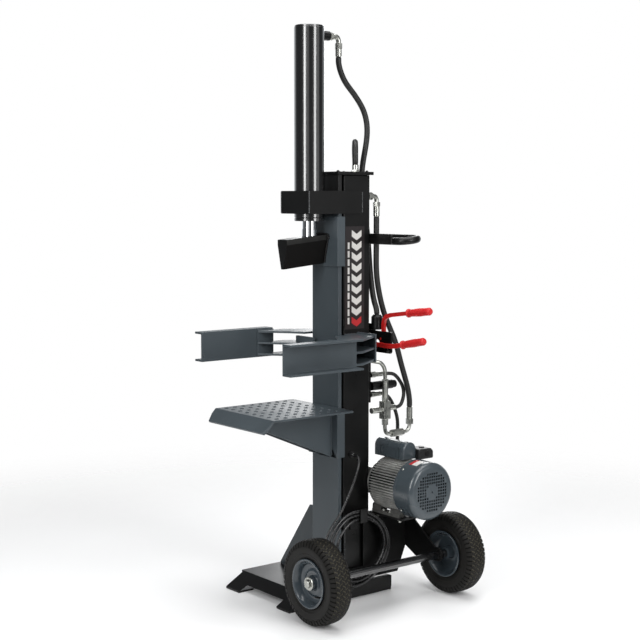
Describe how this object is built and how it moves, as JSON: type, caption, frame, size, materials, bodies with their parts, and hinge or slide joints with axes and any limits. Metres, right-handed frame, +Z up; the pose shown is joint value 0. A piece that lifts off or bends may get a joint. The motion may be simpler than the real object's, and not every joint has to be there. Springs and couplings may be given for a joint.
{
  "type": "vertical log splitter",
  "caption": "Upright electric hydraulic log splitter with a steel column, a top cylinder driving a wedge down, side log arms, a work table, a finned motor and two transport wheels.",
  "frame": {"origin": "middle of the machine's footprint box, on the ground", "axes": "+Z up along the column, -Y towards the log and the work table, +X towards the wheels and levers"},
  "size_m": [0.757, 0.883, 2.191],
  "materials": {
    "slate_paint": "satin powder coat",
    "black_paint": "satin powder coat",
    "gloss_black": "gloss enamel",
    "rim_paint": "satin powder coat",
    "tyre_rubber": "matt tread",
    "red_paint": "gloss enamel",
    "red_grip": "soft satin",
    "hose_rubber": "matt ribbed",
    "cable_rubber": "satin",
    "black_plastic": "matt",
    "zinc_plate": "bright zinc plate",
    "bare_steel": "turned",
    "rod_chrome": "polished",
    "cast_alloy": "bare casting"
  },
  "bodies": {
    "frame": {"arm_bracket_left": "slate_paint", "arm_bracket_right": "slate_paint", "axle": "black_paint", "axle_bracket": "black_paint", "base_plate": "black_paint", "cable_coil": "cable_rubber", "cable_gland": "black_plastic", "cable_hook": "black_paint", "cable_lead": "cable_rubber", "cable_plug": "cable_rubber", "cable_tail": "cable_rubber", "capacitor_box": "slate_paint", "crossover_pipe": "zinc_plate", "cylinder_clamp": "black_paint", "cylinder_gland": "gloss_black", "cylinder_tube": "gloss_black", "handle_bracket": "black_paint", "handle_loop": "black_paint", "hose_cylinder": "hose_rubber", "hose_loop_lower": "hose_rubber", "hose_loop_upper": "hose_rubber", "hose_return": "hose_rubber", "hose_suction": "hose_rubber", "lever_bracket": "black_paint", "log_arm_left": "slate_paint", "log_arm_right": "slate_paint", "mast_beam": "slate_paint", "mast_gusset": "slate_paint", "motor_body": "cast_alloy", "motor_fan_cover": "slate_paint", "oil_tank": "black_paint", "pressure_fitting": "zinc_plate", "pump_body": "cast_alloy", "pump_fitting": "zinc_plate", "relief_valve": "black_paint", "switch_box": "black_plastic", "tank_cap": "black_paint", "tank_return_elbow": "zinc_plate", "tank_top_fitting": "zinc_plate", "tee_block": "zinc_plate", "top_port_elbow": "zinc_plate", "valve_body": "black_paint", "valve_riser": "zinc_plate"},
    "ram": {"piston": "bare_steel", "piston_rod": "rod_chrome", "wedge_carriage": "slate_paint", "wedge_blade": "black_paint"},
    "table": {"table_plate": "slate_paint", "table_bracket": "slate_paint"},
    "upper_lever": {"lever_upper": "red_paint", "grip_upper": "red_grip"},
    "lower_lever": {"lever_lower": "red_paint", "grip_lower": "red_grip"},
    "spool": {"valve_spool": "bare_steel"},
    "front_wheel": {"rim_front": "rim_paint", "tyre_front": "tyre_rubber"},
    "rear_wheel": {"rim_rear": "rim_paint", "tyre_rear": "tyre_rubber"},
    "rotor": {"motor_rotor": "bare_steel", "motor_fan": "black_plastic"}
  },
  "joints": [
    {"name": "ram_stroke", "type": "slide", "parent": "frame", "child": "ram", "axis": [0, 0, -1], "range_m": [0, 0.47]},
    {"name": "table_height", "type": "slide", "parent": "frame", "child": "table", "axis": [0, 0, 1], "range_m": [0, 0.05]},
    {"name": "lower_lever_press", "type": "hinge", "parent": "frame", "child": "lower_lever", "pos_m": [-0.0035, 0.1675, 0.985], "axis": [0, 1, 0], "range_deg": [0, 18], "stiffness_Nm_per_rad": 12, "springref_deg": -17.19},
    {"name": "upper_lever_press", "type": "hinge", "parent": "frame", "child": "upper_lever", "pos_m": [0.0445, 0.1915, 1.004], "axis": [0, 1, 0], "range_deg": [0, 18], "stiffness_Nm_per_rad": 12, "springref_deg": -17.19},
    {"name": "spool_travel", "type": "slide", "parent": "frame", "child": "spool", "axis": [0, 0, 1], "range_m": [0, 0.01]},
    {"name": "front_wheel_roll", "type": "hinge", "parent": "frame", "child": "front_wheel", "pos_m": [0.2205, -0.2745, 0.1605], "axis": [0, 1, 0], "continuous": true},
    {"name": "rear_wheel_roll", "type": "hinge", "parent": "frame", "child": "rear_wheel", "pos_m": [0.2205, 0.3935, 0.1605], "axis": [0, 1, 0], "continuous": true},
    {"name": "rotor_spin", "type": "hinge", "parent": "frame", "child": "rotor", "pos_m": [0.1205, 0.2095, 0.44], "axis": [1, 0, 0], "continuous": true}
  ],
  "couplings": [
    {"joint": "spool_travel", "follows": "lower_lever_press", "m_per_rad": 0.0285}
  ]
}
